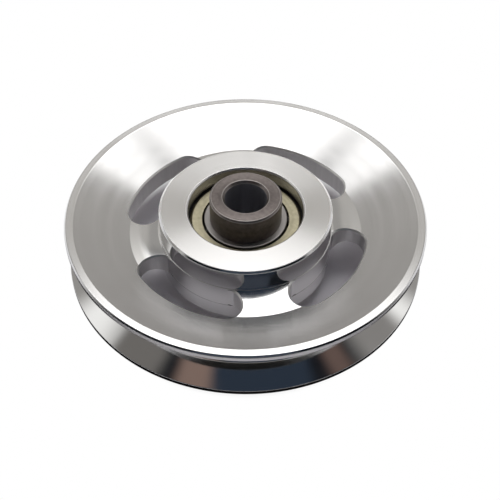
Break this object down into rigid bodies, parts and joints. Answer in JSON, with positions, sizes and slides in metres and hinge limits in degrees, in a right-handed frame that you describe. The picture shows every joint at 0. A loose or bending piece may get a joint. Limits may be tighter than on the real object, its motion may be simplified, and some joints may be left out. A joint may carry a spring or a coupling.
{
  "type": "rope pulley",
  "caption": "Turned aluminium rope pulley with a grooved rim, dished sides and slotted web, turning on a shielded ball bearing with steel bushings for a bolt.",
  "frame": {"origin": "middle of the bolt bore, on the middle plane of the rope groove", "axes": "+Z along the axis of rotation, out of the front face; X and Y pass through the middles of the web slots"},
  "size_m": [0.105, 0.105, 0.029],
  "materials": {
    "turned_aluminium": "fine turned, bright",
    "bearing_steel": "ground",
    "zinc_plated_shield": "yellow zinc plated, satin",
    "blackened_steel": "dark brown oxide, satin",
    "spring_steel": "phosphated, dark satin",
    "pressed_steel": "pressed sheet, plain"
  },
  "bodies": {
    "axle_bushings": {"bushing_front": "blackened_steel", "bushing_rear": "blackened_steel", "bearing_inner_ring": "bearing_steel"},
    "wheel": {"sheave": "turned_aluminium", "bearing_outer_ring": "bearing_steel", "shield_front": "zinc_plated_shield", "shield_rear": "zinc_plated_shield", "retaining_ring": "spring_steel"},
    "ball_cage": {"cage_front": "pressed_steel", "cage_rear": "pressed_steel", "cage_rivets": "pressed_steel"},
    "rolling_ball_1": {"ball_1": "bearing_steel"},
    "rolling_ball_2": {"ball_2": "bearing_steel"},
    "rolling_ball_3": {"ball_3": "bearing_steel"},
    "rolling_ball_4": {"ball_4": "bearing_steel"},
    "rolling_ball_5": {"ball_5": "bearing_steel"},
    "rolling_ball_6": {"ball_6": "bearing_steel"},
    "rolling_ball_7": {"ball_7": "bearing_steel"},
    "rolling_ball_8": {"ball_8": "bearing_steel"}
  },
  "joints": [
    {"name": "sheave_spin", "type": "hinge", "parent": "axle_bushings", "child": "wheel", "pos_m": [0, 0, 0], "axis": [0, 0, 1], "continuous": true},
    {"name": "cage_spin", "type": "hinge", "parent": "axle_bushings", "child": "ball_cage", "pos_m": [0, 0, 0], "axis": [0, 0, 1], "continuous": true},
    {"name": "ball_1_roll", "type": "hinge", "parent": "ball_cage", "child": "rolling_ball_1", "pos_m": [0.01425, 0, 0], "axis": [0, 0, 1], "continuous": true},
    {"name": "ball_2_roll", "type": "hinge", "parent": "ball_cage", "child": "rolling_ball_2", "pos_m": [0.01008, 0.01008, 0], "axis": [0, 0, 1], "continuous": true},
    {"name": "ball_3_roll", "type": "hinge", "parent": "ball_cage", "child": "rolling_ball_3", "pos_m": [0, 0.01425, 0], "axis": [0, 0, 1], "continuous": true},
    {"name": "ball_4_roll", "type": "hinge", "parent": "ball_cage", "child": "rolling_ball_4", "pos_m": [-0.01008, 0.01008, 0], "axis": [0, 0, 1], "continuous": true},
    {"name": "ball_5_roll", "type": "hinge", "parent": "ball_cage", "child": "rolling_ball_5", "pos_m": [-0.01425, 0, 0], "axis": [0, 0, 1], "continuous": true},
    {"name": "ball_6_roll", "type": "hinge", "parent": "ball_cage", "child": "rolling_ball_6", "pos_m": [-0.01008, -0.01008, 0], "axis": [0, 0, 1], "continuous": true},
    {"name": "ball_7_roll", "type": "hinge", "parent": "ball_cage", "child": "rolling_ball_7", "pos_m": [0, -0.01425, 0], "axis": [0, 0, 1], "continuous": true},
    {"name": "ball_8_roll", "type": "hinge", "parent": "ball_cage", "child": "rolling_ball_8", "pos_m": [0.01008, -0.01008, 0], "axis": [0, 0, 1], "continuous": true}
  ],
  "couplings": [
    {"joint": "cage_spin", "follows": "sheave_spin", "ratio": 0.61837},
    {"joint": "ball_1_roll", "follows": "sheave_spin", "ratio": 1.9937},
    {"joint": "ball_2_roll", "follows": "sheave_spin", "ratio": 1.9937},
    {"joint": "ball_3_roll", "follows": "sheave_spin", "ratio": 1.9937},
    {"joint": "ball_4_roll", "follows": "sheave_spin", "ratio": 1.9937},
    {"joint": "ball_5_roll", "follows": "sheave_spin", "ratio": 1.9937},
    {"joint": "ball_6_roll", "follows": "sheave_spin", "ratio": 1.9937},
    {"joint": "ball_7_roll", "follows": "sheave_spin", "ratio": 1.9937},
    {"joint": "ball_8_roll", "follows": "sheave_spin", "ratio": 1.9937}
  ]
}
